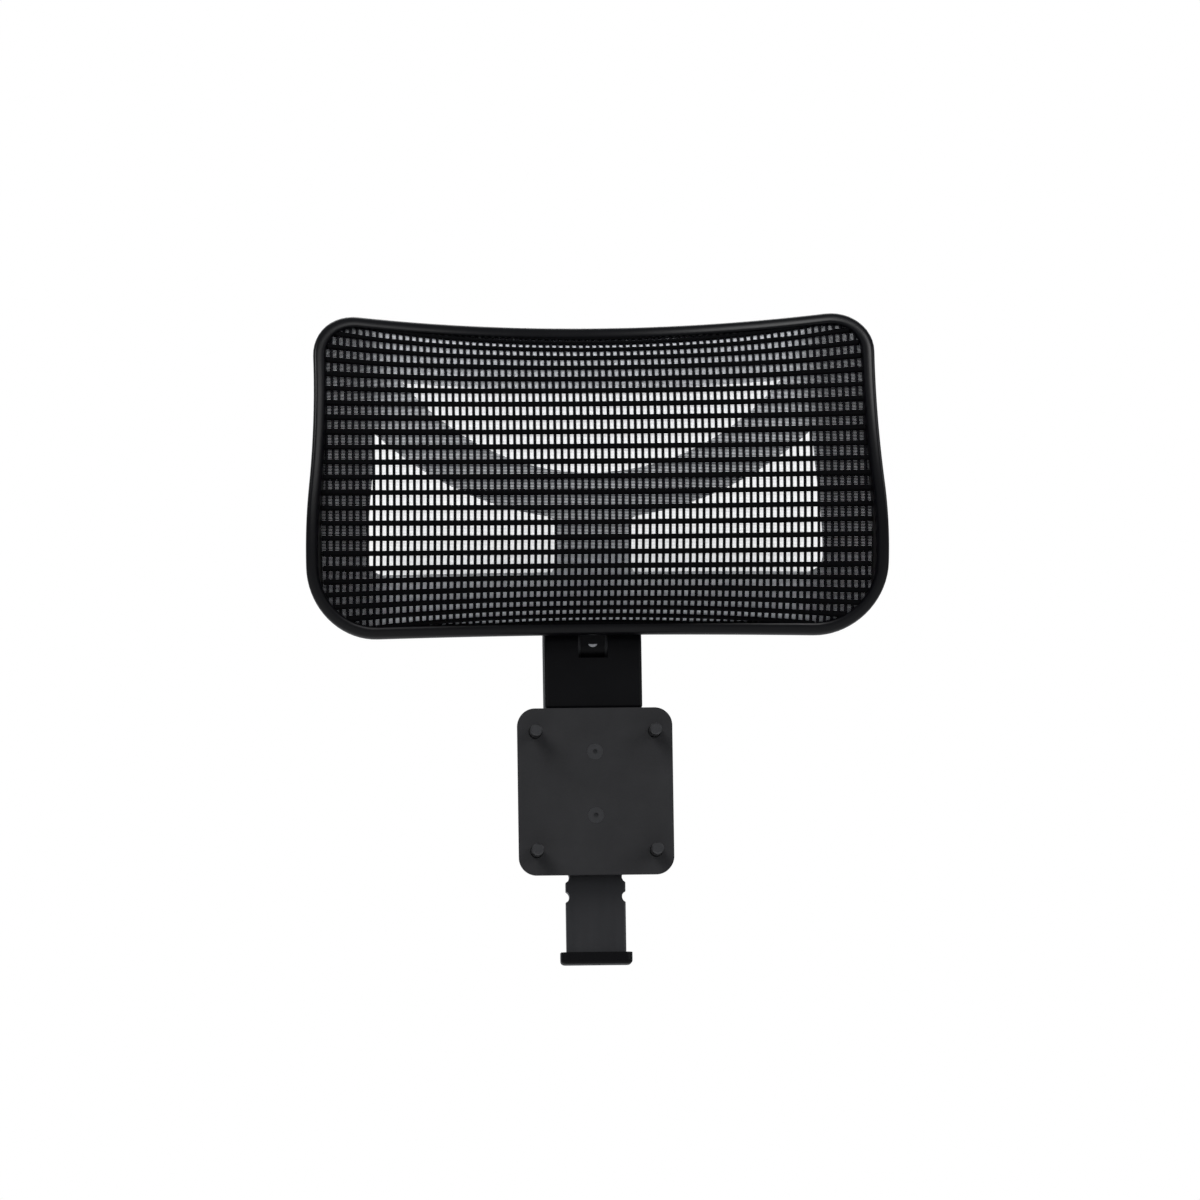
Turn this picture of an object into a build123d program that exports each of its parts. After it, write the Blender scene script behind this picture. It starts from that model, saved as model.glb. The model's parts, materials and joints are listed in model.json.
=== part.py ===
from build123d import *
import os
from math import cos, radians, sin, sqrt

# Chair headrest attachment: a saddle-shaped mesh head on a yoke, a friction hinge that
# tilts it, and a notched stem that slides in a sleeve on the chair's back.
# Millimetres. +Z is up, the user's head rests on the -Y side, +X runs across.
# The origin is the centre of the four mounting bolts, on the bracket's front face.

os.makedirs("parts", exist_ok=True)

# Head: place and front outline, heights measured from the head's middle
head_z = 156.0              # middle of the head above the origin
head_y = -54.0              # front of the side bars' middles
corner_up = (141.4, 82.9)   # upper corner before rounding
corner_low = (142.2, -83.2)  # lower corner before rounding
widest = (145.4, -40.0)     # widest point of the side bars
bend = (143.6, -8.0)        # where the side bars change their curve
top_middle = 78.0           # middle of the top bar, which dips
bottom_middle = -77.5       # middle of the bottom bar, which is pinched up
top_radius = 22.0
bottom_radius = 34.0

# Head: saddle surface, wrapped about a vertical axis in front and arched along its sides
wrap_radius = 265.0
wrap_depth = 40.0           # how far the middle lies behind the side bars
side_radius = 223.0
half_sweep = 36.0           # degrees swept each way, past the head's sides
reach = 200.0               # long enough to cut through the whole head

# Yoke, in front view from the head's middle
arm_tip_x, arm_tip_up = 96.0, 50.0      # where the arms' upper edge meets the frame's corner
arm_corner_x, arm_corner_z = 104.0, 70.0  # upper end behind the frame
arm_end_x, arm_end_z = 132.0, 50.0      # outer end behind the frame
arm_root_x, arm_root_low = 110.0, 23.0
arm_middle_up = 4.0
arm_middle_low = -19.0
spine_width = 37.5
spine_flare = -42.0
spine_foot = -54.0          # where the flare ends, as wide as the neck
spine_low = -66.0
spine_round = 5.0
arm_round = 7.0
tongue_top_z = 54.0                     # top of the tongue's gusset above the hinge
tongue_top_radius = 2.0

# Screws
running_gap = 0.05
small_screw = 1.1
screw_inset = 3.2           # from the head's edge to the ring screws
ring_screw_x = (36.0, 98.0)
yoke_screw_pair = ((104.0, 57.0), (115.5, 44.0))
ring_screw_length = 8.5     # from the frame's rear surface to the screw's tip
ring_screw_sunk = 2.0
yoke_screw = 2.0
yoke_screw_head = 4.0
yoke_screw_bite = 3.2
yoke_seat = 9.0             # depth of the seats under the yoke screws' heads
set_screw_radius = 2.5

# Head: layers, as depths behind the saddle surface
ring_front, ring_back = -5.0, 2.0
strip_front = -1.0
frame_back = 6.0
yoke_back = 11.5
ring_width = 6.0
strip_width = 1.5
frame_inset = 1.0           # the frame's outer edge, in from the ring's
window_radius = 8.0         # corners of the frame's opening
frame_width = 31.5
mesh_gap = 0.2
mesh_thickness = 1.4
mesh_edge_depth = -2.4
mesh_depth = 6.0            # middle of the mesh behind the side bars
mesh_steepness = 0.95       # share of an ellipse that the mesh's upright section follows
mesh_reach = (141.0, 1.04)  # how far the sheet runs before it is trimmed, across and as a share upwards

# Hinge
hinge_y = 18.0
hinge_z = head_z - 80.0
knuckle_radius = 10.5
tongue_width = 12.0
washer_thickness = 1.4
slot_width = 15.0
neck_width = 49.0
neck_radius = 11.5
neck_bottom = hinge_z - 34.0
slot_gap = 0.6              # round the knuckle
slot_sill = 8.0             # the slot's front and back edges below the hinge's axis
pin_radius = 4.0
pin_half_length = 20.5
cap_radius = 8.0
cap_thickness = 2.8
cap_pocket = 7.0

# Stem and sleeve
stem_width = 30.0
stem_depth = 8.0
stem_bottom = -80.0
stem_grip = 16.0            # length held inside the neck block
travel = 50.0
notch_pitch = 10.0
notch_radius = 3.0
notch_bite = 1.8
detent_z = -2.0
sleeve_top = neck_bottom - 1.0
sleeve_bottom = stem_bottom + travel + 0.3
sleeve_width = 48.0
sleeve_front = 4.0
sleeve_back = 32.0
guide_height = 12.0
guide_wall = 3.0
stop_height = 6.0

guide_outer = (stem_width + 2 * guide_wall, stem_depth + 2 * guide_wall)
detent_length = 30.0
detent_room = 4.5
nose_radius = 2.8
sleeve_screw = 1.5
sleeve_screw_length = 24.0
stem_screw = 2.0
stem_screw_head = 3.8

# Bracket and its fasteners
bracket_width = 78.0
bracket_height = 84.0
bolt_spacing = 60.0
bolt_radius = 3.0
bolt_length = 20.0
bracket_screw = 2.0
bracket_screw_length = 11.0
bolt_neck_radius = 2.7      # plain shank inside the bracket, slimmer than the thread
washer_height = 1.6
washer_radius = 5.7

sleeve_screw_x = 20.4
stem_screw_x = 8.0
edge_round = 1.2            # rounding of the yoke's rear edges

head_front = Plane((0, 0, head_z), x_dir=(1, 0, 0), z_dir=(0, -1, 0))
wrap_y = head_y + wrap_depth - wrap_radius
tongue_top_y = head_y + 53.0
set_screw_plane = Plane((0, hinge_y - knuckle_radius, hinge_z), x_dir=(1, 0, 0), z_dir=(0, -1, 0))
bracket_screw_heights = (-12.0, 20.0)
hinge_plane = Plane((0, hinge_y, hinge_z), x_dir=(0, 1, 0), z_dir=(1, 0, 0))


def facing_back(spot):
    """Place at spot that faces straight back."""
    return Plane(spot, x_dir=(1, 0, 0), z_dir=(0, 1, 0)).location


def facing_front(spot):
    """Place at spot that faces straight to the front."""
    return Plane(spot, x_dir=(1, 0, 0), z_dir=(0, -1, 0)).location


stem_screw_places = [
    facing_back((side * stem_screw_x, hinge_y + neck_radius, neck_bottom + stem_grip / 2)) for side in (-1, 1)
]
sleeve_screw_places = [
    facing_back((side * sleeve_screw_x, sleeve_back, height))
    for side in (-1, 1)
    for height in (sleeve_bottom + guide_height / 2, sleeve_top - guide_height / 2)
]
bracket_screw_places = [facing_front((0, 0, height)) for height in bracket_screw_heights]


def save(piece, name):
    """Label a finished piece and write it."""
    piece.part.label = name
    export_step(piece.part, f"parts/{name}.step")


def saddle_radius(depth, height):
    """Distance from the wrap axis of the surface at a depth, at a height from the middle."""
    return wrap_radius + side_radius - sqrt((side_radius - depth) ** 2 - height**2)


def saddle_point(x, height, depth=0.0):
    """Point of the surface at a depth, at x across and at a height from the middle."""
    return Vector(x, wrap_y + sqrt(saddle_radius(depth, height) ** 2 - x**2), head_z + height)


def saddle_plane(x, height):
    """Plane lying on the surface at that point, facing backwards."""
    spot = saddle_point(x, height)
    outward = Vector(x, spot.Y - wrap_y, 0).normalized()
    slope = height / sqrt(side_radius**2 - height**2)
    return Plane(spot, z_dir=outward - Vector(0, 0, slope))


def saddle_layer(front, back):
    """Slab between two depths, larger than the head."""
    tall = abs(corner_low[1]) + 8
    angle = radians(half_sweep)
    across = (sin(angle), cos(angle), 0)
    start = Plane((0, wrap_y, head_z), x_dir=across, z_dir=(cos(angle), -sin(angle), 0))
    with BuildPart() as layer:
        with BuildSketch(start):
            with BuildLine():
                ends = []
                for depth in (front, back):
                    r_end = saddle_radius(depth, tall)
                    arc = ThreePointArc((r_end, tall), (wrap_radius + depth, 0), (r_end, -tall))
                    ends.append((arc @ 0, arc @ 1))
                Line(ends[0][0], ends[1][0])
                Line(ends[0][1], ends[1][1])
            make_face()
        revolve(axis=Axis((0, wrap_y, head_z), (0, 0, 1)), revolution_arc=2 * half_sweep)
    return layer.part


def head_outline(inset, upper_radius, lower_radius):
    """Front outline of the head, drawn in by inset and rounded at its corners."""
    with BuildSketch(head_front) as outline:
        with BuildLine():
            lower = ThreePointArc(corner_low, widest, bend)
            TangentArc(bend, corner_up, tangent=lower % 1)
            mirror(about=Plane.YZ)
            ThreePointArc(corner_up, (0, top_middle), (-corner_up[0], corner_up[1]))
            ThreePointArc(corner_low, (0, bottom_middle), (-corner_low[0], corner_low[1]))
        make_face()
        if inset:
            offset(amount=-inset, kind=Kind.INTERSECTION)
        fillet(outline.vertices().group_by(Axis.Y)[-1], upper_radius)
        fillet(outline.vertices().group_by(Axis.Y)[0], lower_radius)
    return outline.sketch


def head_band(front, back, outer, inner, inner_top, inner_bottom):
    """Closed band of the saddle between two insets of the outline."""
    outside = head_outline(outer, top_radius - outer, bottom_radius - outer)
    inside = head_outline(inner, inner_top, inner_bottom)
    with BuildPart() as band:
        add(saddle_layer(front, back))
        extrude(outside, amount=reach, both=True, mode=Mode.INTERSECT)
        extrude(inside, amount=reach, both=True, mode=Mode.SUBTRACT)
    return band.part


def edge_height(x, up):
    """Height of the top or bottom edge at x, from the head's middle."""
    corner, middle = (corner_up, top_middle) if up else (corner_low, bottom_middle)
    return middle + (corner[1] - middle) * (x / corner[0]) ** 2


# Where the head's screws stand: (x, height from the head's middle)
ring_screw_spots = [
    (side * x, edge_height(x, up) + (-screw_inset if up else screw_inset))
    for up in (True, False)
    for side in (-1, 1)
    for x in ring_screw_x
]
yoke_screw_spots = [(side * x, height) for side in (-1, 1) for x, height in yoke_screw_pair]


def square_places(spots, depth):
    """Places at a depth behind each spot, square to the saddle surface."""
    return [saddle_plane(x, height).offset(depth).location for x, height in spots]


def straight_places(spots, drop):
    """Places facing straight back, at a drop in front of the frame's rear surface."""
    return [
        facing_back(saddle_point(x, height, frame_back) - Vector(0, drop, 0))
        for x, height in spots
    ]


# ---- Head ----

with BuildPart() as front_ring:
    add(head_band(ring_front, ring_back, 0, ring_width, top_radius - ring_width, bottom_radius - ring_width))
    with Locations(*straight_places(ring_screw_spots, 0)):
        Cylinder(small_screw + running_gap, 2 * ring_screw_length + 1, mode=Mode.SUBTRACT)
save(front_ring, "front_ring")

strip_inner = ring_width + strip_width
with BuildPart() as mesh_edge_strip:
    add(head_band(strip_front, ring_back, ring_width, strip_inner, top_radius - strip_inner,
                  bottom_radius - strip_inner))
save(mesh_edge_strip, "mesh_edge_strip")

with BuildPart() as rear_frame:
    add(head_band(ring_back, frame_back, frame_inset, frame_width, window_radius, window_radius))
    with Locations(*straight_places(ring_screw_spots, 0)):
        Cylinder(small_screw + running_gap, 2 * ring_screw_length + 1, mode=Mode.SUBTRACT)
    with Locations(*straight_places(ring_screw_spots, ring_screw_sunk)):
        Cylinder(2 * small_screw, 8, align=(Align.CENTER, Align.CENTER, Align.MIN), mode=Mode.SUBTRACT)
    with Locations(*square_places(yoke_screw_spots, frame_back)):
        Cylinder(yoke_screw + running_gap, 2 * yoke_screw_bite, mode=Mode.SUBTRACT)
save(rear_frame, "rear_frame")

with BuildPart() as ring_screws:
    with Locations(*straight_places(ring_screw_spots, ring_screw_sunk)):
        Cylinder(2 * small_screw - running_gap, 1.2, align=(Align.CENTER, Align.CENTER, Align.MIN))
        Cylinder(small_screw, ring_screw_length - ring_screw_sunk,
                 align=(Align.CENTER, Align.CENTER, Align.MAX))
save(ring_screws, "ring_screws")

mesh_inset = strip_inner + mesh_gap


def mesh_point(x, share):
    """Point of the mesh at x, at a share of the way from its middle to its top or bottom edge."""
    edge = edge_height(x, share > 0) - (mesh_inset if share > 0 else -mesh_inset)
    spread = (x / corner_up[0]) ** 2
    middle = head_y + mesh_depth * (1 - spread)
    ellipse = (1 - sqrt(1 - (mesh_steepness * share) ** 2)) / (1 - sqrt(1 - mesh_steepness**2))
    rise = spread * share**2 + (1 - spread) * ellipse
    depth = saddle_point(x, edge, mesh_edge_depth).Y - middle
    return Vector(x, middle + depth * rise, head_z + edge * abs(share))


mesh_grid = [
    [mesh_point(mesh_reach[0] * column / 10, mesh_reach[1] * row / 6) for column in range(-10, 11)]
    for row in range(-6, 7)
]
mesh_sheet = Face.make_surface_from_array_of_points(mesh_grid, tol=0.05)
with BuildPart() as mesh_panel:
    thicken(mesh_sheet, amount=mesh_thickness)
    extrude(head_outline(mesh_inset, top_radius - mesh_inset, bottom_radius - mesh_inset),
            amount=reach, both=True, mode=Mode.INTERSECT)
save(mesh_panel, "mesh_panel")

# The yoke: two arms that rise from a spine, behind the frame, and a tongue down to the hinge
with BuildPart() as yoke:
    add(saddle_layer(frame_back, yoke_back))
    with BuildSketch(head_front) as arms:
        with BuildLine():
            ThreePointArc((-arm_tip_x, arm_tip_up), (0, arm_middle_up), (arm_tip_x, arm_tip_up))
            Line((arm_tip_x, arm_tip_up), (arm_corner_x, arm_corner_z))
            Line((arm_corner_x, arm_corner_z), (arm_end_x, arm_end_z))
            Line((arm_end_x, arm_end_z), (arm_root_x, arm_root_low))
            ThreePointArc((arm_root_x, arm_root_low), (0, arm_middle_low), (-arm_root_x, arm_root_low))
            Line((-arm_root_x, arm_root_low), (-arm_end_x, arm_end_z))
            Line((-arm_end_x, arm_end_z), (-arm_corner_x, arm_corner_z))
            Line((-arm_corner_x, arm_corner_z), (-arm_tip_x, arm_tip_up))
        make_face()
        fillet(arms.vertices(), arm_round)
        with BuildLine():
            Polyline((-spine_width / 2, 0), (-spine_width / 2, spine_flare),
                     (-neck_width / 2, spine_foot), (-neck_width / 2, spine_low),
                     (neck_width / 2, spine_low), (neck_width / 2, spine_foot),
                     (spine_width / 2, spine_flare), (spine_width / 2, 0), close=True)
        make_face()
        spine_corners = arms.vertices().filter_by_position(Axis.X, -neck_width, neck_width)
        fillet(spine_corners.filter_by_position(Axis.Y, spine_low - 1, arm_tip_up), spine_round)
    extrude(amount=reach, both=True, mode=Mode.INTERSECT)
    back_face = yoke.faces().sort_by(SortBy.AREA)[-2:].sort_by(Axis.Y)[-1]
    fillet(back_face.edges(), edge_round)
    with BuildSketch(hinge_plane):
        Circle(knuckle_radius)
        with Locations((tongue_top_y - hinge_y, tongue_top_z)):
            Circle(tongue_top_radius)
        make_hull()
    extrude(amount=tongue_width / 2, both=True)
    with BuildSketch(hinge_plane):
        Circle(pin_radius + running_gap)
    extrude(amount=tongue_width, both=True, mode=Mode.SUBTRACT)
    with BuildSketch(set_screw_plane):
        Circle(set_screw_radius + running_gap)
    extrude(amount=-knuckle_radius, mode=Mode.SUBTRACT)
    with Locations(*square_places(yoke_screw_spots, frame_back)):
        Cylinder(yoke_screw + running_gap, 20, mode=Mode.SUBTRACT)
    with Locations(*square_places(yoke_screw_spots, yoke_seat)):
        Cylinder(yoke_screw_head + running_gap, 12, align=(Align.CENTER, Align.CENTER, Align.MIN),
                 mode=Mode.SUBTRACT)
save(yoke, "yoke")

with BuildPart() as yoke_screws:
    with Locations(*square_places(yoke_screw_spots, yoke_seat)):
        Cylinder(yoke_screw_head, 1.8, align=(Align.CENTER, Align.CENTER, Align.MIN))
        Cylinder(yoke_screw, yoke_seat - frame_back + yoke_screw_bite - 0.3,
                 align=(Align.CENTER, Align.CENTER, Align.MAX))
        with Locations((0, 0, 1.8)):
            Cylinder(1.2, 1.6, align=(Align.CENTER, Align.CENTER, Align.MAX), mode=Mode.SUBTRACT)
save(yoke_screws, "yoke_screws")

with BuildPart() as screw_plugs:
    with Locations(*square_places(yoke_screw_spots, yoke_seat + 1.9)):
        Cylinder(yoke_screw_head, yoke_back - yoke_seat - 1.9, align=(Align.CENTER, Align.CENTER, Align.MIN))
save(screw_plugs, "screw_plugs")

# ---- Hinge ----

with BuildPart() as pivot_pin:
    with BuildSketch(hinge_plane):
        Circle(pin_radius)
    extrude(amount=pin_half_length, both=True)
    for side in (-1, 1):
        with BuildSketch(hinge_plane.offset(side * (pin_half_length - 1.5))):
            Circle(pin_radius)
            Circle(pin_radius - 0.6, mode=Mode.SUBTRACT)
        extrude(amount=-side * 1.0, mode=Mode.SUBTRACT)
    chamfer(pivot_pin.edges().filter_by(GeomType.CIRCLE).sort_by(Axis.X)[0], 0.5)
    chamfer(pivot_pin.edges().filter_by(GeomType.CIRCLE).sort_by(Axis.X)[-1], 0.5)
save(pivot_pin, "pivot_pin")

with BuildPart() as retaining_rings:
    for side in (-1, 1):
        with BuildSketch(hinge_plane.offset(side * (pin_half_length - 1.55))):
            Circle(pin_radius + 2)
            Circle(pin_radius - 0.55, mode=Mode.SUBTRACT)
            with Locations((0, pin_radius + 1)):
                Rectangle(3.4, pin_radius + 2, mode=Mode.SUBTRACT)
        extrude(amount=-side * 0.9)
save(retaining_rings, "retaining_rings")

with BuildPart() as pin_set_screw:
    with BuildSketch(set_screw_plane.offset(-0.4)):
        Circle(set_screw_radius)
    extrude(amount=-(knuckle_radius - pin_radius - 0.5))
    with BuildSketch(set_screw_plane.offset(-0.4)):
        RegularPolygon(1.4, 6)
    extrude(amount=-2.5, mode=Mode.SUBTRACT)
save(pin_set_screw, "pin_set_screw")

with BuildPart() as friction_washers:
    for side in (-1, 1):
        with BuildSketch(hinge_plane.offset(side * (tongue_width / 2 + running_gap))):
            Circle(knuckle_radius - 1.5)
            Circle(pin_radius + running_gap, mode=Mode.SUBTRACT)
        extrude(amount=side * washer_thickness)
save(friction_washers, "friction_washers")

# ---- Neck and stem ----

# The neck block: two rounded cheeks over a block that grips the stem
with BuildPart() as neck_block:
    with BuildSketch(hinge_plane):
        Circle(neck_radius)
        with Locations((0, (neck_bottom - hinge_z) / 2)):
            Rectangle(2 * neck_radius, hinge_z - neck_bottom)
    extrude(amount=neck_width / 2, both=True)
    fillet(neck_block.faces().sort_by(Axis.Z)[0].edges(), 2)
    fillet(neck_block.faces().filter_by(Axis.X).edges().filter_by(Axis.X, reverse=True)
           .filter_by_position(Axis.Z, neck_bottom + 3, hinge_z + neck_radius), 1.5)
    with BuildSketch(hinge_plane):
        Circle(knuckle_radius + slot_gap)
        with Locations((0, -slot_sill)):
            Rectangle(4 * neck_radius, 3 * neck_radius, align=(Align.CENTER, Align.MIN))
    extrude(amount=slot_width / 2, both=True, mode=Mode.SUBTRACT)
    with BuildSketch(hinge_plane):
        Circle(pin_radius + running_gap)
    extrude(amount=neck_width, both=True, mode=Mode.SUBTRACT)
    for side in (-1, 1):
        with BuildSketch(hinge_plane.offset(side * neck_width / 2)):
            Circle(cap_radius + running_gap)
        extrude(amount=-side * cap_pocket, mode=Mode.SUBTRACT)
    with BuildSketch(Plane.XY.offset(neck_bottom)):
        with Locations((0, hinge_y)):
            Rectangle(stem_width + 2 * running_gap, stem_depth + 2 * running_gap)
    extrude(amount=stem_grip, mode=Mode.SUBTRACT)
    with Locations(*stem_screw_places):
        CounterBoreHole(stem_screw + running_gap, stem_screw_head + running_gap, 4, depth=neck_radius + 6)
save(neck_block, "neck_block")

for side, name in ((-1, "hinge_cap_left"), (1, "hinge_cap_right")):
    with BuildPart() as hinge_cap:
        with BuildSketch(hinge_plane.offset(side * neck_width / 2)):
            Circle(cap_radius)
        extrude(amount=-side * cap_thickness)
        rim = hinge_cap.edges().filter_by(GeomType.CIRCLE).sort_by(Axis.X)
        chamfer(rim[-1] if side > 0 else rim[0], 0.6)
    save(hinge_cap, name)

# The stem: a flat steel bar with a row of detent notches down both edges
with BuildPart() as stem_bar:
    with BuildSketch(Plane.XY.offset(stem_bottom)):
        with Locations((0, hinge_y)):
            RectangleRounded(stem_width, stem_depth, 1)
    extrude(amount=neck_bottom + stem_grip - 0.2 - stem_bottom)
    with BuildSketch(Plane.XZ.offset(-hinge_y)):
        with Locations(*[(side * (stem_width / 2 + notch_radius - notch_bite), detent_z - step * notch_pitch)
                         for side in (-1, 1) for step in range(int(travel / notch_pitch) + 1)]):
            Circle(notch_radius)
    extrude(amount=stem_depth, both=True, mode=Mode.SUBTRACT)
    with Locations(*stem_screw_places):
        Hole(stem_screw + running_gap, depth=40)
    with BuildSketch(Plane.XY.offset(stem_bottom)):
        with Locations((0, hinge_y)):
            Circle(small_screw + running_gap)
    extrude(amount=8, mode=Mode.SUBTRACT)
save(stem_bar, "stem_bar")

with BuildPart() as stem_screws:
    with Locations(*stem_screw_places):
        with Locations((0, 0, -3.9)):
            Cylinder(stem_screw_head, 3, align=(Align.CENTER, Align.CENTER, Align.MIN))
            Cylinder(stem_screw, neck_radius, align=(Align.CENTER, Align.CENTER, Align.MAX))
        with Locations((0, 0, -0.9)):
            Cylinder(1.5, 1.8, align=(Align.CENTER, Align.CENTER, Align.MAX), mode=Mode.SUBTRACT)
save(stem_screws, "stem_screws")

# Stop on the stem's lower end: it meets the sleeve at the top of the travel
with BuildPart() as stem_end_stop:
    with BuildSketch(Plane.XY.offset(stem_bottom)):
        with Locations((0, hinge_y)):
            RectangleRounded(stem_width + 6, stem_depth + 6, 3)
    extrude(amount=-stop_height)
    fillet(stem_end_stop.faces().sort_by(Axis.Z)[0].edges(), 2)
    with BuildSketch(Plane.XY.offset(stem_bottom)):
        with Locations((0, hinge_y)):
            Circle(small_screw + running_gap)
    extrude(amount=-stop_height, mode=Mode.SUBTRACT)
    with BuildSketch(Plane.XY.offset(stem_bottom - stop_height)):
        with Locations((0, hinge_y)):
            Circle(2 * small_screw + running_gap)
    extrude(amount=1.5, mode=Mode.SUBTRACT)
save(stem_end_stop, "stem_end_stop")

with BuildPart() as end_stop_screw:
    with BuildSketch(Plane.XY.offset(stem_bottom - stop_height + 0.2)):
        with Locations((0, hinge_y)):
            Circle(2 * small_screw)
    extrude(amount=1.2)
    with BuildSketch(Plane.XY.offset(stem_bottom - stop_height + 0.2)):
        with Locations((0, hinge_y)):
            Circle(small_screw)
    extrude(amount=stop_height + 7)
save(end_stop_screw, "end_stop_screw")

# ---- Sleeve ----


def sleeve_half(front, back):
    """Half of the sleeve between two depths, hollow round the stem, its guides and detents."""
    middle = (sleeve_top + sleeve_bottom) / 2
    height = sleeve_top - sleeve_bottom
    with BuildPart() as half:
        with BuildSketch(Plane.XY.offset(sleeve_bottom)):
            with Locations((0, (sleeve_front + sleeve_back) / 2)):
                RectangleRounded(sleeve_width, sleeve_back - sleeve_front, 5)
        extrude(amount=height)
        with BuildSketch(Plane.XY.offset(sleeve_bottom)):
            with Locations((0, hinge_y)):
                Rectangle(stem_width + 1.2, stem_depth + 1.2)
        extrude(amount=height, mode=Mode.SUBTRACT)
        with BuildSketch(Plane.XY.offset(sleeve_bottom)):
            with Locations((0, hinge_y)):
                Rectangle(guide_outer[0] + 0.1, guide_outer[1] + 0.1)
        extrude(amount=guide_height, mode=Mode.SUBTRACT)
        with BuildSketch(Plane.XY.offset(sleeve_top)):
            with Locations((0, hinge_y)):
                Rectangle(guide_outer[0] + 0.1, guide_outer[1] + 0.1)
        extrude(amount=-guide_height, mode=Mode.SUBTRACT)
        with BuildSketch(Plane.XY.offset(detent_z - detent_length / 2 - 0.5)):
            with Locations((0, hinge_y)):
                Rectangle(stem_width + 2 * detent_room, stem_depth + 0.6)
        extrude(amount=detent_length + 1, mode=Mode.SUBTRACT)
        with Locations((0, (front + back) / 2, middle)):
            Box(2 * sleeve_width, back - front, height, mode=Mode.INTERSECT)
    return half.part


with BuildPart() as sleeve_body:
    add(sleeve_half(sleeve_front, hinge_y))
    with Locations(*sleeve_screw_places):
        Hole(sleeve_screw + running_gap, depth=sleeve_screw_length)
    with Locations(*bracket_screw_places):
        Hole(bracket_screw + running_gap, depth=bracket_screw_length + 0.5)
save(sleeve_body, "sleeve_body")

with BuildPart() as sleeve_cover:
    add(sleeve_half(hinge_y, sleeve_back))
    fillet(sleeve_cover.faces().sort_by(Axis.Y)[-1].edges(), 2)
    with Locations(*sleeve_screw_places):
        CounterBoreHole(sleeve_screw + running_gap, 1.8 * sleeve_screw + running_gap, 3, depth=40)
save(sleeve_cover, "sleeve_cover")

with BuildPart() as sleeve_screws:
    with Locations(*sleeve_screw_places):
        with Locations((0, 0, -2.9)):
            Cylinder(1.8 * sleeve_screw, 2, align=(Align.CENTER, Align.CENTER, Align.MIN))
            Cylinder(sleeve_screw, sleeve_screw_length - 4, align=(Align.CENTER, Align.CENTER, Align.MAX))
        with Locations((0, 0, -0.9)):
            Cylinder(sleeve_screw * 0.6, 1, align=(Align.CENTER, Align.CENTER, Align.MAX), mode=Mode.SUBTRACT)
save(sleeve_screws, "sleeve_screws")

for name, bottom in (("upper_guide", sleeve_top - guide_height), ("lower_guide", sleeve_bottom)):
    with BuildPart() as guide:
        with BuildSketch(Plane.XY.offset(bottom)):
            with Locations((0, hinge_y)):
                Rectangle(guide_outer[0], guide_outer[1])
                Rectangle(stem_width + 2 * running_gap, stem_depth + 2 * running_gap, mode=Mode.SUBTRACT)
        extrude(amount=guide_height)
    save(guide, name)

# Spring strips whose round noses click into the stem's notches
with BuildPart() as detent_springs:
    for side in (-1, 1):
        with BuildSketch(Plane.XZ.offset(-hinge_y)):
            with Locations((side * (stem_width / 2 + detent_room - 0.8), detent_z)):
                Rectangle(1.2, detent_length)
            with Locations((side * (stem_width / 2 + nose_radius - notch_bite + 0.4), detent_z)):
                Circle(nose_radius)
        extrude(amount=stem_depth / 2, both=True)
save(detent_springs, "detent_springs")

# ---- Bracket ----

with BuildPart() as bracket_plate:
    with BuildSketch(Plane.XZ):
        RectangleRounded(bracket_width, bracket_height, 9)
    extrude(amount=-sleeve_front)
    chamfer(bracket_plate.faces().sort_by(Axis.Y)[-1].outer_wire().edges(), 0.8)
    with BuildSketch(Plane.XZ):
        with GridLocations(bolt_spacing, bolt_spacing, 2, 2):
            Circle(bolt_radius + 0.3)
    extrude(amount=-sleeve_front, mode=Mode.SUBTRACT)
    with Locations(*bracket_screw_places):
        CounterBoreHole(bracket_screw + running_gap, 2 * bracket_screw + running_gap, 2.2,
                        depth=sleeve_front + 1)
save(bracket_plate, "bracket_plate")

with BuildPart() as bracket_screws:
    with Locations(*bracket_screw_places):
        with Locations((0, 0, -0.1)):
            Cylinder(2 * bracket_screw, 2, align=(Align.CENTER, Align.CENTER, Align.MAX))
            Cylinder(bracket_screw, bracket_screw_length, align=(Align.CENTER, Align.CENTER, Align.MAX))
            Cylinder(1.2, 1.4, align=(Align.CENTER, Align.CENTER, Align.MAX), mode=Mode.SUBTRACT)
save(bracket_screws, "bracket_screws")

with BuildPart() as mount_washers:
    with BuildSketch(Plane.XZ.offset(-sleeve_front)):
        with GridLocations(bolt_spacing, bolt_spacing, 2, 2):
            Circle(washer_radius)
            Circle(bolt_radius + 0.2, mode=Mode.SUBTRACT)
    extrude(amount=-washer_height)
save(mount_washers, "mount_washers")

# The bolts stand out of the bracket's front face, into the chair's back
with BuildPart() as mount_bolts:
    seat = sleeve_front + washer_height
    with BuildSketch(Plane.XZ.offset(-seat)):
        with GridLocations(bolt_spacing, bolt_spacing, 2, 2):
            Circle(bolt_neck_radius)
    extrude(amount=seat)
    with BuildSketch(Plane.XZ):
        with GridLocations(bolt_spacing, bolt_spacing, 2, 2):
            Circle(bolt_radius)
    extrude(amount=bolt_length - seat)
    chamfer(mount_bolts.edges().group_by(Axis.Y)[0], 0.6)
    with BuildSketch(Plane.XZ.offset(-seat)):
        with GridLocations(bolt_spacing, bolt_spacing, 2, 2):
            Circle(1.7 * bolt_radius)
    extrude(amount=-3.2)
    fillet(mount_bolts.edges().group_by(Axis.Y)[-1], 1.4)
    with BuildSketch(Plane.XZ.offset(-seat - 3.2)):
        with GridLocations(bolt_spacing, bolt_spacing, 2, 2):
            RegularPolygon(2.3, 6)
    extrude(amount=2, mode=Mode.SUBTRACT)
save(mount_bolts, "mount_bolts")
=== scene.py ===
import json
import math

import bpy
import numpy as np
from mathutils import Matrix, Vector


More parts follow.
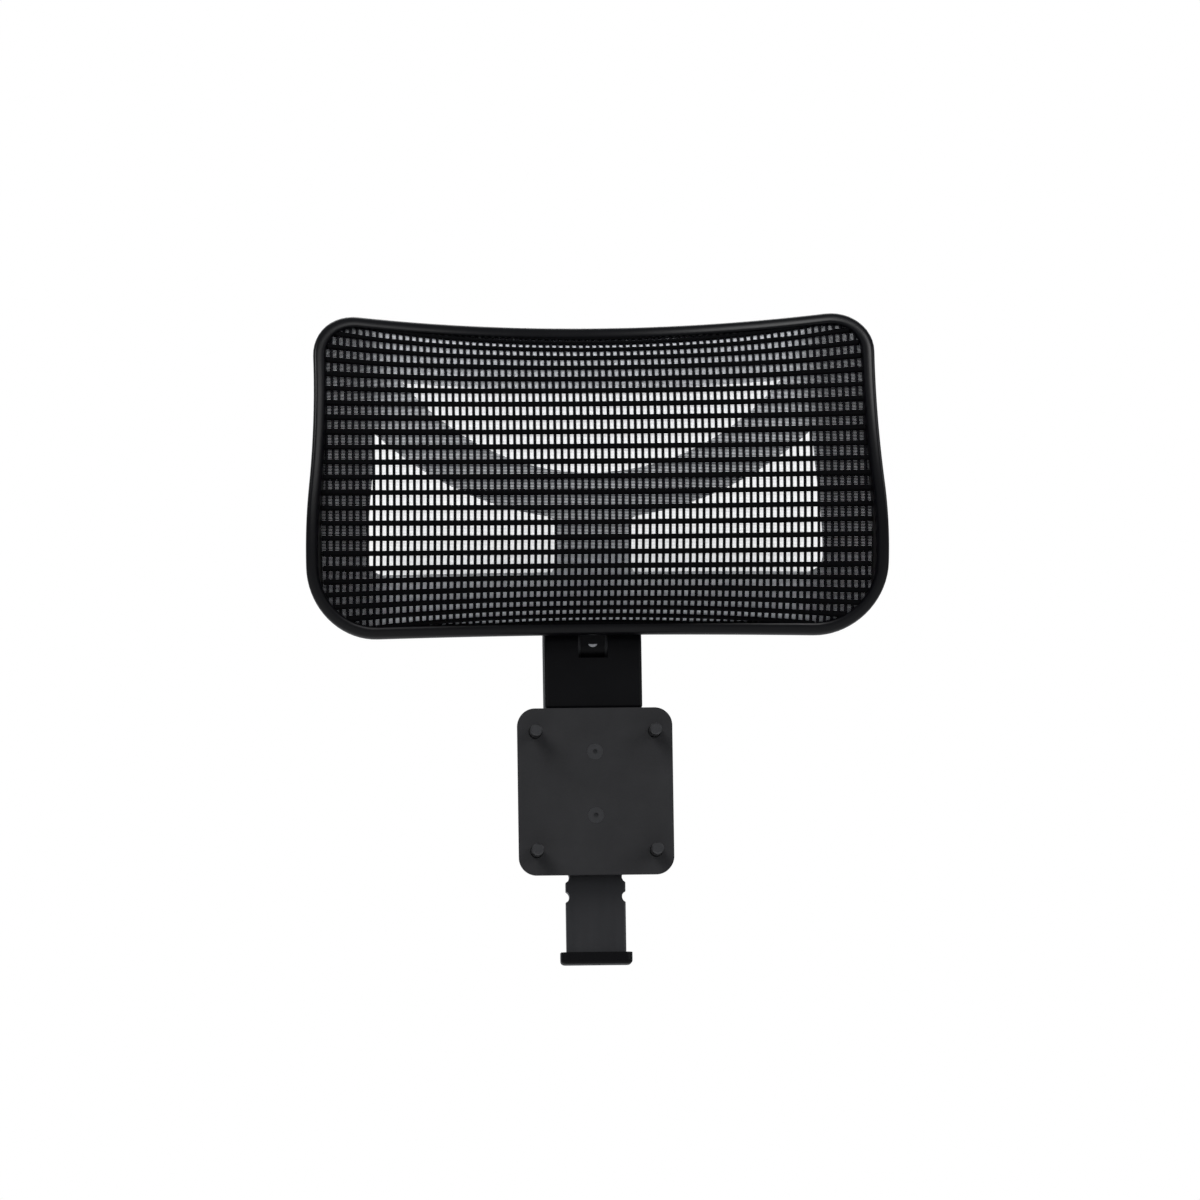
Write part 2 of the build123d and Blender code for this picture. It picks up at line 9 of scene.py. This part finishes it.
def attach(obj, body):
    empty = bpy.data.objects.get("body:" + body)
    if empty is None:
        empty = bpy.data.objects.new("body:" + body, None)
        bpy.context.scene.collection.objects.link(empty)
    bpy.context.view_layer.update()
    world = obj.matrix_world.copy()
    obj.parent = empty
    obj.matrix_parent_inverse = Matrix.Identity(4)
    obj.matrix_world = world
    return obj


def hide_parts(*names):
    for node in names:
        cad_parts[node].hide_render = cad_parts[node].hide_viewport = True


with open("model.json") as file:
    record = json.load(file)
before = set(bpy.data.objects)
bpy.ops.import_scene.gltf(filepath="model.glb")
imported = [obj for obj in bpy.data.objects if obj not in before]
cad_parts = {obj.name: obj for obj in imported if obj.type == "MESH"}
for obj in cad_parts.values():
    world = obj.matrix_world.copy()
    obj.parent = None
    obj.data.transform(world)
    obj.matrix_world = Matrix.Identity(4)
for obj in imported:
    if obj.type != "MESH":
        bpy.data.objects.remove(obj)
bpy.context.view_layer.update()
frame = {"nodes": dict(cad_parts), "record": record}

# ---------------------------------------------------------------- measures, in metres
HEAD_Z = 0.156                     # middle of the head
HEAD_Y = -0.054                    # front of the side bars at that height

# Front outline of the head, from its middle: corners before rounding, and points of its edges
CORNER_UP = (0.1414, 0.0829)
CORNER_LOW = (0.1422, -0.0832)
WIDEST = (0.1454, -0.040)
BEND = (0.1436, -0.008)
TOP_MIDDLE = (0.0, 0.078)
BOTTOM_MIDDLE = (0.0, -0.0775)
TOP_RADIUS = 0.022
BOTTOM_RADIUS = 0.034

# Saddle surface: wrapped about an upright axis in front, arched along its sides
WRAP_RADIUS = 0.265
WRAP_DEPTH = 0.040
SIDE_RADIUS = 0.223
WRAP_Y = HEAD_Y + WRAP_DEPTH - WRAP_RADIUS

# Woven panel
MESH_DEPTH = 0.006
MESH_EDGE_DEPTH = -0.0022
MESH_STEEPNESS = 0.97
MESH_INSET = 0.0058                # tucked under the ring's inner lip
BAND_PITCH = 0.0076
BAND_SHIFT = -0.0026               # of the band nearest the panel's middle
SQUEEZE_BELOW, SQUEEZE = -0.042, 0.86  # the bands stand closer in the panel's lowest part
BAND_WIDTH = 0.0028
BAND_THICK = 0.0020
BAND_PROUD = 0.0003
BAND_SWELL = 0.04                  # the bands swell and pinch between the yarns
YARN_PITCH = 0.00336
YARN_WIDTH = 0.0017
YARN_THICK = 0.0007
YARN_BEHIND = 0.0005
BAND_SIDES, YARN_SIDES = 8, 6
FEWEST_YARN_POINTS = 6
SHORTEST_RUN = 0.003               # a strand that would be shorter is left out

# Pale filaments behind the weave: painted light, a pale sheet that greys the windows where light falls
# on the frame behind
FILAMENT_PITCH = 0.00075
FILAMENT_WIDTH = 0.00035
FILAMENT_BEHIND = 0.0009
FILAMENT_SIDES = 4
# Their fronts carry the painted light; their backs are dark, so it shows only from in front
FILAMENT_KINDS = [0, 0, 1, 0]      # the side that faces back is dark
COLUMNS_A_POINT = 4                # they bend little, so few columns give a point
# Over the side bars the filaments thin out: painted shade, as the side flanges behind catch less light
FILAMENT_THIN = 0.34               # share of their width that they keep at the sides
FILAMENT_THIN_FROM, FILAMENT_THIN_TO = 0.096, 0.118

# Section of the head's ring: insets from the outline, and depths behind the saddle surface
RING_OUTER, RING_INNER = 0.0001, 0.0064
RING_FRONT, RING_BACK = -0.0049, 0.0019

# How finely shapes are worked out
OUTLINE_STEP = 0.003
EDGE_STEP = 0.001
FEWEST_ARC_POINTS = 4
SLOPE_STEP = 0.0004                # to either side, where a slope is measured
SHORT_OF_EDGE = 0.9995             # the panel stands upright at its very edge
PAST_EDGE = 0.02                   # a height that is surely off the panel


# ---------------------------------------------------------------- outline
def circle_through(p, q, r):
    """Centre and radius of the circle through three points."""
    ax, ay, bx, by, cx, cy = *p, *q, *r
    d = 2 * (ax * (by - cy) + bx * (cy - ay) + cx * (ay - by))
    a2, b2, c2 = ax**2 + ay**2, bx**2 + by**2, cx**2 + cy**2
    ux = (a2 * (by - cy) + b2 * (cy - ay) + c2 * (ay - by)) / d
    uy = (a2 * (cx - bx) + b2 * (ax - cx) + c2 * (bx - ax)) / d
    return (ux, uy), math.dist((ux, uy), p)


def tangent_circle(start, centre, end):
    """Circle that leaves start square to the line from centre, and passes end."""
    nx, ny = (start[0] - centre[0]), (start[1] - centre[1])
    n = math.hypot(nx, ny)
    nx, ny = nx / n, ny / n
    dx, dy = end[0] - start[0], end[1] - start[1]
    signed = (dx * dx + dy * dy) / (2 * (dx * nx + dy * ny))
    return (start[0] + nx * signed, start[1] + ny * signed), abs(signed)


def circles_meet(a, ra, b, rb, near):
    """The point where two circles cross, on the side of near."""
    dx, dy = b[0] - a[0], b[1] - a[1]
    d = math.hypot(dx, dy)
    along = (ra * ra - rb * rb + d * d) / (2 * d)
    up = math.sqrt(max(ra * ra - along * along, 0.0))
    found = []
    for side in (1, -1):
        x = a[0] + (dx * along - side * dy * up) / d
        y = a[1] + (dy * along + side * dx * up) / d
        found.append((x, y))
    return min(found, key=lambda p: math.dist(p, near))


def toward(centre, radius, point):
    """The point of a circle in the direction of point."""
    d = math.dist(centre, point)
    return (
        centre[0] + (point[0] - centre[0]) * radius / d,
        centre[1] + (point[1] - centre[1]) * radius / d,
    )


def right_half():
    """The outline's right half as arcs, from the bottom's middle up: (centre, radius, first point,
    last point, side). side is 1 where the head lies inside the arc's circle, and -1 outside it."""
    bottom, r_bottom = circle_through(CORNER_LOW, BOTTOM_MIDDLE, (-CORNER_LOW[0], CORNER_LOW[1]))
    top, r_top = circle_through(CORNER_UP, TOP_MIDDLE, (-CORNER_UP[0], CORNER_UP[1]))
    lower, r_lower = circle_through(CORNER_LOW, WIDEST, BEND)
    upper, r_upper = tangent_circle(BEND, lower, CORNER_UP)
    low = circles_meet(bottom, r_bottom + BOTTOM_RADIUS, lower, r_lower - BOTTOM_RADIUS, CORNER_LOW)
    high = circles_meet(top, r_top + TOP_RADIUS, upper, r_upper + TOP_RADIUS, CORNER_UP)
    a = toward(low, BOTTOM_RADIUS, bottom)
    b = toward(lower, r_lower, low)
    c = toward(high, TOP_RADIUS, upper)
    d = toward(high, TOP_RADIUS, top)
    return [
        (bottom, r_bottom, BOTTOM_MIDDLE, a, -1),
        (low, BOTTOM_RADIUS, a, b, 1),
        (lower, r_lower, b, BEND, 1),
        (upper, r_upper, BEND, c, -1),
        (high, TOP_RADIUS, c, d, 1),
        (top, r_top, d, TOP_MIDDLE, -1),
    ]


def outline(step):
    """Points round the outline, about step apart, and their outward directions.
    They run anticlockwise from the bottom's middle."""
    points, outward = [], []
    for centre, radius, first, last, side in right_half():
        a0 = math.atan2(first[1] - centre[1], first[0] - centre[0])
        a1 = math.atan2(last[1] - centre[1], last[0] - centre[0])
        turn = (a1 - a0 + math.pi) % (2 * math.pi) - math.pi
        count = max(FEWEST_ARC_POINTS, round(abs(turn) * radius / step))
        for i in range(count):
            a = a0 + turn * i / count
            points.append((centre[0] + radius * math.cos(a), centre[1] + radius * math.sin(a)))
            outward.append((side * math.cos(a), side * math.sin(a)))
    points.append(TOP_MIDDLE)
    outward.append((0.0, 1.0))
    points, outward = np.array(points), np.array(outward)
    flip = np.array([-1.0, 1.0])
    return (
        np.concatenate([points, points[-2:0:-1] * flip]),
        np.concatenate([outward, outward[-2:0:-1] * flip]),
    )


def saddle_y(x, height, depth=0.0):
    """How far back the saddle surface lies at x and at a height from the head's middle."""
    radius = WRAP_RADIUS + SIDE_RADIUS - np.sqrt((SIDE_RADIUS - depth) ** 2 - height**2)
    return WRAP_Y + np.sqrt(radius**2 - x**2)


# ---------------------------------------------------------------- mesh building
def piece(name, points, faces, material, smooth=True):
    """A mesh object from points and faces."""
    data = bpy.data.meshes.new(name)
    data.from_pydata([tuple(p) for p in points], [], [tuple(f) for f in faces])
    data.validate()
    made = bpy.data.objects.new(name, data)
    bpy.context.scene.collection.objects.link(made)
    data.materials.append(material)
    data.polygons.foreach_set("use_smooth", [smooth] * len(data.polygons))
    return made


def loop_faces(rings, around, closed_along):
    """Quads between rings of points that follow each other."""
    faces = []
    for i in range(rings if closed_along else rings - 1):
        j = (i + 1) % rings
        for k in range(around):
            m = (k + 1) % around
            faces.append((i * around + k, i * around + m, j * around + m, j * around + k))
    return faces


def swept_band(name, inset_depth, material, step=OUTLINE_STEP):
    """A closed bar round the head: inset_depth gives its section as (inset, depth) points."""
    edge, outward = outline(step)
    points = []
    for (x, z), (nx, nz) in zip(edge, outward):
        for inset, depth in inset_depth:
            px, pz = x - nx * inset, z - nz * inset
            points.append((px, float(saddle_y(px, pz, depth)), HEAD_Z + pz))
    return piece(name, points, loop_faces(len(edge), len(inset_depth), True), material)


def rounded_section(inset0, inset1, depth0, depth1, power=2.6, count=28):
    """A superellipse section between two insets and two depths."""
    ci, cd = (inset0 + inset1) / 2, (depth0 + depth1) / 2
    ri, rd = (inset1 - inset0) / 2, (depth1 - depth0) / 2
    section = []
    for k in range(count):
        a = 2 * math.pi * k / count
        c, s = math.cos(a), math.sin(a)
        section.append(
            (
                ci + ri * math.copysign(abs(c) ** (2 / power), c),
                cd + rd * math.copysign(abs(s) ** (2 / power), s),
            )
        )
    return section


# ---------------------------------------------------------------- materials
def material(name, colour, roughness, **sockets):
    """A Principled material, its node tree and its shader."""
    made = bpy.data.materials.new(name)
    made.use_nodes = True
    shader = made.node_tree.nodes["Principled BSDF"]
    shader.inputs["Base Color"].default_value = (*colour, 1)
    shader.inputs["Roughness"].default_value = roughness
    for socket, value in sockets.items():
        shader.inputs[socket.replace("_", " ")].default_value = value
    return made, made.node_tree, shader


def add(tree, kind, **values):
    """A node with its settings and the values of its sockets."""
    node = tree.nodes.new(kind)
    for key, value in values.items():
        if hasattr(node, key):
            setattr(node, key, value)
        else:
            node.inputs[key.replace("_", " ")].default_value = value
    return node


def link(tree, a, b):
    """Joins output a to input b."""
    tree.links.new(a, b)


def vary_colour(tree, shader, factor, colour, dark, light):
    """Colour that goes from dark times colour to light times colour with factor."""
    ramp = add(tree, "ShaderNodeValToRGB")
    ramp.color_ramp.elements[0].color = (*(c * dark for c in colour), 1)
    ramp.color_ramp.elements[1].color = (*(c * light for c in colour), 1)
    link(tree, factor, ramp.inputs["Fac"])
    link(tree, ramp.outputs["Color"], shader.inputs["Base Color"])


def vary_gloss(tree, shader, factor, roughest, smoothest):
    """Roughness that goes from smoothest to roughest with factor."""
    gloss = add(tree, "ShaderNodeMapRange")
    gloss.inputs["To Min"].default_value = smoothest
    gloss.inputs["To Max"].default_value = roughest
    link(tree, factor, gloss.inputs["Value"])
    link(tree, gloss.outputs["Result"], shader.inputs["Roughness"])


def raise_surface(tree, shader, height, strength, distance):
    """A bump of the surface by height."""
    bump = add(tree, "ShaderNodeBump", Strength=strength, Distance=distance)
    link(tree, height, bump.inputs["Height"])
    link(tree, bump.outputs["Normal"], shader.inputs["Normal"])


def moulded(name, colour, roughness, grain=2600.0, depth=0.00004, shine=0.09):
    """Black moulded plastic: a fine eroded grain, faint clouding of its gloss."""
    made, tree, shader = material(name, colour, roughness, Specular_IOR_Level=shine)
    at = add(tree, "ShaderNodeTexCoord")
    fine = add(tree, "ShaderNodeTexNoise", Scale=grain, Detail=3.0, Roughness=0.6)
    cloud = add(tree, "ShaderNodeTexNoise", Scale=45.0, Detail=4.0, Roughness=0.55)
    link(tree, at.outputs["Object"], fine.inputs["Vector"])
    link(tree, at.outputs["Object"], cloud.inputs["Vector"])
    raise_surface(tree, shader, fine.outputs["Fac"], 0.5, depth)
    vary_gloss(tree, shader, cloud.outputs["Fac"], roughness + 0.08, roughness - 0.06)
    vary_colour(tree, shader, cloud.outputs["Fac"], colour, 0.8, 1.25)
    return made


def metal(name, colour, roughness, metallic, scratch=(900.0, 60.0, 60.0)):
    """Steel, bare or coated, with fine lines: scratch is their density along x, y and z."""
    made, tree, shader = material(name, colour, roughness, Metallic=metallic)
    at = add(tree, "ShaderNodeTexCoord")
    stretch = add(tree, "ShaderNodeMapping")
    stretch.inputs["Scale"].default_value = scratch
    lines = add(tree, "ShaderNodeTexNoise", Scale=4.0, Detail=5.0, Roughness=0.65)
    link(tree, at.outputs["Object"], stretch.inputs["Vector"])
    link(tree, stretch.outputs["Vector"], lines.inputs["Vector"])
    vary_gloss(tree, shader, lines.outputs["Fac"], roughness + 0.10, roughness - 0.07)
    raise_surface(tree, shader, lines.outputs["Fac"], 0.3, 0.00003)
    vary_colour(tree, shader, lines.outputs["Fac"], colour, 0.85, 1.15)
    return made


def thread(name, colour, roughness, twist):
    """Spun yarn: plies that slant by twist along the strand, and fuzz."""
    made, tree, shader = material(name, colour, roughness, Specular_IOR_Level=0.03)
    at = add(tree, "ShaderNodeTexCoord")
    turn = add(tree, "ShaderNodeMapping")
    turn.inputs["Rotation"].default_value = twist
    plies = add(tree, "ShaderNodeTexWave", Scale=420.0, Distortion=1.5, Detail=2.0)
    fuzz = add(tree, "ShaderNodeTexNoise", Scale=3000.0, Detail=2.0)
    link(tree, at.outputs["Object"], turn.inputs["Vector"])
    link(tree, turn.outputs["Vector"], plies.inputs["Vector"])
    link(tree, at.outputs["Object"], fuzz.inputs["Vector"])
    both = add(tree, "ShaderNodeMath", operation="MULTIPLY")
    link(tree, plies.outputs["Fac"], both.inputs[0])
    link(tree, fuzz.outputs["Fac"], both.inputs[1])
    raise_surface(tree, shader, both.outputs["Value"], 0.6, 0.00012)
    vary_colour(tree, shader, plies.outputs["Fac"], colour, 0.6, 1.5)
    return made


BLACK = (0.0012, 0.0012, 0.0016)
RING_COLOUR = (0.0012, 0.0012, 0.0018)
RUBBER = (0.002, 0.002, 0.002)
POWDER_COAT = (0.018, 0.018, 0.019)
ALONG_STEM = (60.0, 60.0, 4.0)
MATERIALS = {
    "moulded_black": moulded("moulded_black_nylon", BLACK, 0.42),
    "ring_black": moulded("ring_satin_nylon", RING_COLOUR, 0.32, depth=0.00002, shine=0.15),
    "edge_rubber": moulded("edge_strip_rubber", RUBBER, 0.6, shine=0.1),
    "painted_steel": moulded("bracket_powder_coat", POWDER_COAT, 0.48, grain=1500.0, depth=0.00008),
    "stem_steel": metal("stem_coated_steel", (0.03, 0.03, 0.032), 0.34, 0.7, ALONG_STEM),
    "bright_steel": metal("ground_steel", (0.5, 0.5, 0.51), 0.28, 1.0),
    "dark_fastener": metal("blackened_steel", (0.05, 0.05, 0.052), 0.36, 0.85),
    "guide_plastic": moulded("acetal_grey", (0.06, 0.06, 0.063), 0.4),
}
for row in frame["record"]["subparts"]:
    node = frame["nodes"][row["node"]]
    if row["material_slot"] in MATERIALS:
        node.data.materials.clear()
        node.data.materials.append(MATERIALS[row["material_slot"]])

# ---------------------------------------------------------------- head ring
ring_section = rounded_section(RING_OUTER, RING_INNER, RING_FRONT, RING_BACK)
ring = swept_band("head_ring", ring_section, MATERIALS["ring_black"])
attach(ring, "head")
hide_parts("front_ring")


# ---------------------------------------------------------------- woven panel
def edge_table():
    """Points of the panel's lower edge and upper edge, from left to right, and all of them in turn."""
    edge, outward = outline(EDGE_STEP)
    inner = edge - outward * MESH_INSET
    upper = inner[inner[:, 1] > 0]
    lower = inner[inner[:, 1] <= 0]
    upper = upper[np.argsort(upper[:, 0])]
    lower = lower[np.argsort(lower[:, 0])]
    return lower, upper, inner


LOWER_EDGE, UPPER_EDGE, INNER_EDGE = edge_table()


def panel_edge(x, up):
    """Height of the panel's straight-run edge at x, without the rounded corners."""
    corner, middle = (CORNER_UP, TOP_MIDDLE) if up else (CORNER_LOW, BOTTOM_MIDDLE)
    run = middle[1] + (corner[1] - middle[1]) * (x / corner[0]) ** 2
    return run - MESH_INSET if up else run + MESH_INSET


def panel_y(x, height):
    """How far back the panel lies: nearly straight across, steeply curved upwards."""
    edge = np.where(height > 0, panel_edge(x, True), panel_edge(x, False))
    share = np.clip(height / edge, 0.0, 1.0)
    spread = (x / CORNER_UP[0]) ** 2
    middle = HEAD_Y + MESH_DEPTH * (1 - spread)
    ellipse = (1 - np.sqrt(1 - (MESH_STEEPNESS * share) ** 2)) / (1 - math.sqrt(1 - MESH_STEEPNESS**2))
    rise = spread * share**2 + (1 - spread) * ellipse
    return middle + (saddle_y(x, edge, MESH_EDGE_DEPTH) - middle) * rise


def height_limits(x):
    """The panel's lowest and highest height at x, corners rounded."""
    low = np.interp(x, LOWER_EDGE[:, 0], LOWER_EDGE[:, 1])
    high = np.interp(x, UPPER_EDGE[:, 0], UPPER_EDGE[:, 1])
    return low, high


def arc_table(x, samples=241):
    """Heights at x, and the distance of each along the panel from its middle."""
    low, high = float(panel_edge(x, False)), float(panel_edge(x, True))
    heights = np.linspace(low * SHORT_OF_EDGE, high * SHORT_OF_EDGE, samples)
    back = panel_y(np.full(samples, x), heights)
    steps = np.hypot(np.diff(heights), np.diff(back))
    along = np.concatenate([[0.0], np.cumsum(steps)])
    along -= np.interp(0.0, heights, along)
    return heights, along


def panel_normal(x, height):
    """Unit direction out of the panel's front at a point."""
    step = SLOPE_STEP
    dx = (panel_y(x + step, height) - panel_y(x - step, height)) / (2 * step)
    dz = (panel_y(x, height + step) - panel_y(x, height - step)) / (2 * step)
    n = np.array([dx, -1.0, dz])
    return n / np.linalg.norm(n)


def strand(path, across, sides, widths, thicks):
    """Tube along path: at each point, across is the direction of its width, and widths and thicks
    are its size."""
    points = []
    count = len(path)
    for i in range(count):
        ahead = path[min(i + 1, count - 1)] - path[max(i - 1, 0)]
        ahead /= np.linalg.norm(ahead)
        flat = across[i] - ahead * np.dot(across[i], ahead)
        flat /= np.linalg.norm(flat)
        thick = np.cross(ahead, flat)
        for k in range(sides):
            a = 2 * math.pi * (k + 0.5) / sides
            wide = flat * math.cos(a) * widths[i] / 2
            deep = thick * math.sin(a) * thicks[i] / 2
            points.append(path[i] + wide + deep)
    faces = loop_faces(count, sides, False)
    faces.append(tuple(range(sides - 1, -1, -1)))
    faces.append(tuple(range((count - 1) * sides, count * sides)))
    return points, faces


def half_width():
    """Half the panel's width."""
    return float(INNER_EDGE[:, 0].max())


def columns_across(step):
    """Columns of the panel, about step apart: their x, arc tables and limits."""
    wide = half_width()
    xs = np.linspace(-wide, wide, int(2 * wide / step) + 1)
    return [(x, *arc_table(x), *height_limits(x)) for x in xs]


def runs_across(columns, distance, keep):
    """Stretches of the line at a distance along the panel, as (x, height) points that end on its edge.
    Inside a stretch, one column in keep gives a point."""
    rows = []
    for x, heights, along, low, high in columns:
        under, over = heights[0] - PAST_EDGE, heights[-1] + PAST_EDGE
        height = float(np.interp(distance, along, heights, left=under, right=over))
        rows.append((x, height, min(height - low, high - height)))
    runs, run = [], []
    for i, (x, height, room) in enumerate(rows):
        before = rows[i - 1] if i else None
        if before and (room >= 0) != (before[2] >= 0):
            share = before[2] / (before[2] - room)
            run.append((before[0] + (x - before[0]) * share, before[1] + (height - before[1]) * share))
            if room < 0:
                runs.append(run)
                run = []
        if room >= 0 and i % keep == 0:
            run.append((x, height))
    if run:
        runs.append(run)
    return [r for r in runs if len(r) > 2 and abs(r[-1][0] - r[0][0]) > SHORTEST_RUN]


def on_panel(x, height, off):
    """Point of the panel moved off along its normal, and the direction up the panel there."""
    n = panel_normal(x, height)
    return np.array([x, panel_y(x, height), HEAD_Z + height]) + n * off, np.cross(n, (1.0, 0.0, 0.0))


def lines_across(columns, pitch, shift=0.0):
    """Distances along the panel of the lines across it: a pitch apart, and closer together low down."""
    highest = max(c[2].max() for c in columns)
    lowest = min(c[2].min() for c in columns)
    distance = shift
    distances = []
    while distance < highest:
        distances.append(distance)
        distance += pitch
    distance = shift
    while distance > lowest:
        distance -= pitch if distance > SQUEEZE_BELOW else pitch * SQUEEZE
        distances.append(distance)
    return distances


class Strands:
    """Points and faces of many strands, with a kind for each face."""

    def __init__(self):
        self.points, self.faces, self.kinds = [], [], []

    def put(self, path, across, sides, widths, thicks, kinds):
        """Adds one strand. kinds gives each side's kind, from the front one round by the lower one,
        and a single kind stands for all."""
        base = len(self.points)
        points, faces = strand(path, across, sides, widths, thicks)
        self.points.extend(points)
        self.faces.extend([tuple(base + k for k in face) for face in faces])
        self.kinds.extend([kinds[i % len(kinds)] for i in range(len(faces))])


def woven_strands():
    """Bands across, kind 0, and yarns upwards, kind 1."""
    woven = Strands()
    columns = columns_across(YARN_PITCH / 2)
    for distance in lines_across(columns, BAND_PITCH, BAND_SHIFT):
        for run in runs_across(columns, distance, 1):
            places = [on_panel(x, height, BAND_PROUD) for x, height in run]
            swell = [1 + BAND_SWELL * math.cos(2 * math.pi * x / YARN_PITCH) for x, _ in run]
            woven.put(
                [p for p, _ in places],
                [u for _, u in places],
                BAND_SIDES,
                [BAND_WIDTH * w for w in swell],
                [BAND_THICK * w for w in swell],
                [0],
            )
    yarns = int(half_width() / YARN_PITCH)
    for j in range(-yarns, yarns + 1):
        x = j * YARN_PITCH
        heights, along = arc_table(x)
        low, high = height_limits(x)
        a0, a1 = np.interp([low, high], heights, along)
        count = max(FEWEST_YARN_POINTS, int((a1 - a0) / (BAND_PITCH / 4)))
        spots = [(a, float(np.interp(a, along, heights))) for a in np.linspace(a0, a1, count)]
        path = [
            on_panel(x, height, -YARN_BEHIND * (1 + math.cos(2 * math.pi * a / BAND_PITCH)) / 2)[0]
            for a, height in spots
        ]
        across = [np.array([1.0, 0.0, 0.0])] * count
        woven.put(path, across, YARN_SIDES, [YARN_WIDTH] * count, [YARN_THICK] * count, [1])
    return woven


band_thread = thread("band_yarn", (0.0012, 0.0012, 0.0015), 0.8, (0.0, 0.0, 0.7))
yarn_thread = thread("upright_yarn", (0.004, 0.004, 0.005), 0.75, (0.0, 1.2, 0.0))
woven = woven_strands()
panel = piece("woven_panel", woven.points, woven.faces, band_thread)
panel.data.materials.append(yarn_thread)
panel.data.polygons.foreach_set("material_index", woven.kinds)
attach(panel, "head")
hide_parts("mesh_panel")


# ---------------------------------------------------------------- pale filaments behind the weave: painted light
def filament_width(x):
    """The filaments' width at x: they are finer over the side bars, which paints shade into the windows
    there.
    """
    t = min(max((abs(x) - FILAMENT_THIN_FROM) / (FILAMENT_THIN_TO - FILAMENT_THIN_FROM), 0), 1)
    return FILAMENT_WIDTH * (1 - (1 - FILAMENT_THIN) * t * t * (3 - 2 * t))


def filaments():
    """Fine pale filaments that run across just behind the yarns: painted light that greys the windows,
    with dark backs so it shows only from in front.
    """
    fine = Strands()
    columns = columns_across(YARN_PITCH / 2)
    for distance in lines_across(columns, FILAMENT_PITCH):
        for run in runs_across(columns, distance, COLUMNS_A_POINT):
            places = [on_panel(x, height, -FILAMENT_BEHIND) for x, height in run]
            path, upward = [p for p, _ in places], [u for _, u in places]
            sizes = [filament_width(x) for x, _ in run]
            fine.put(path, upward, FILAMENT_SIDES, sizes, sizes, FILAMENT_KINDS)
    return fine


# The filaments' pale colour is painted light, standing in for light on the frame behind the weave
painted_light_material, _, _ = material("painted_light_monofilament", (0.9, 0.92, 0.95), 0.5)
fine = filaments()
veil = piece("panel_painted_light_filaments", fine.points, fine.faces, painted_light_material)
veil.data.materials.append(yarn_thread)
veil.data.polygons.foreach_set("material_index", fine.kinds)
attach(veil, "head")


# ---------------------------------------------------------------- studio
FLOOR_Z = -0.95
FLOOR_HALF = 14.0


def pale_paper():
    """Pale paper that looks white to the camera and lights nothing by itself."""
    made, tree, shader = material("pale_floor", (0.8, 0.8, 0.8), 0.9, Emission_Color=(1, 1, 1, 1))
    seen = add(tree, "ShaderNodeLightPath")
    link(tree, seen.outputs["Is Camera Ray"], shader.inputs["Emission Strength"])
    return made


floor = bpy.data.meshes.new("studio_floor")
corner_signs = ((-1, -1), (1, -1), (1, 1), (-1, 1))
floor_corners = [(x * FLOOR_HALF, y * FLOOR_HALF, FLOOR_Z) for x, y in corner_signs]
floor.from_pydata(floor_corners, [], [(0, 1, 2, 3)])
floor_object = bpy.data.objects.new("studio_floor", floor)
bpy.context.scene.collection.objects.link(floor_object)
floor.materials.append(pale_paper())

ROOM_LIGHT = 0.42
world = bpy.data.worlds.new("studio_world")
bpy.context.scene.world = world
world.use_nodes = True
sky = world.node_tree
sky.nodes["Background"].inputs["Color"].default_value = (0.92, 0.95, 1.0, 1)
sky.nodes["Background"].inputs["Strength"].default_value = ROOM_LIGHT
paper = add(sky, "ShaderNodeBackground", Color=(1.0, 1.0, 1.0, 1), Strength=1.0)
seen = add(sky, "ShaderNodeLightPath")
either = add(sky, "ShaderNodeMixShader")
link(sky, seen.outputs["Is Camera Ray"], either.inputs["Fac"])
link(sky, sky.nodes["Background"].outputs["Background"], either.inputs[1])
link(sky, paper.outputs["Background"], either.inputs[2])
link(sky, either.outputs["Shader"], sky.nodes["World Output"].inputs["Surface"])


def softbox(name, spot, size, power):
    """A square area light that faces the head's middle."""
    data = bpy.data.lights.new(name, "AREA")
    data.shape = "SQUARE"
    data.size = size
    data.energy = power
    made = bpy.data.objects.new(name, data)
    made.location = spot
    made.rotation_mode = "QUATERNION"
    made.rotation_quaternion = (Vector((0, 0, HEAD_Z)) - Vector(spot)).to_track_quat("-Z", "Y")
    bpy.context.scene.collection.objects.link(made)


softbox("key_light", (-1.2, -1.6, 1.6), 1.2, 55)
softbox("fill_light", (1.6, -1.2, 0.9), 1.4, 26)
softbox("rim_light", (0.3, 1.8, 1.4), 1.4, 22)

# ---------------------------------------------------------------- camera
AZIMUTH, ELEVATION, ROLL = math.radians(-3.0), math.radians(-6.0), math.radians(0.85)
DISTANCE = 5.0
LENS, SENSOR = 300.0, 36.0
ASIDE, ABOVE = -0.0027, -0.0628    # how far the picture's middle lies from the head's
AIM_BEHIND = 0.02                  # of the front of the side bars

camera_data = bpy.data.cameras.new("camera")
camera = bpy.data.objects.new("camera", camera_data)
bpy.context.scene.collection.objects.link(camera)
bpy.context.scene.camera = camera
camera_data.lens = LENS
camera_data.sensor_width = SENSOR
back = Vector(
    (
        math.sin(AZIMUTH) * math.cos(ELEVATION),
        -math.cos(AZIMUTH) * math.cos(ELEVATION),
        math.sin(ELEVATION),
    )
)
turned = (-back).to_track_quat("-Z", "Y") @ Matrix.Rotation(-ROLL, 3, "Z").to_quaternion()
right, up = turned @ Vector((1, 0, 0)), turned @ Vector((0, 1, 0))
aim = Vector((0, HEAD_Y + AIM_BEHIND, HEAD_Z)) + right * -ASIDE + up * ABOVE
camera.location = aim + back * DISTANCE
camera.rotation_mode = "QUATERNION"
camera.rotation_quaternion = turned

bpy.context.scene.view_settings.view_transform = "Standard"
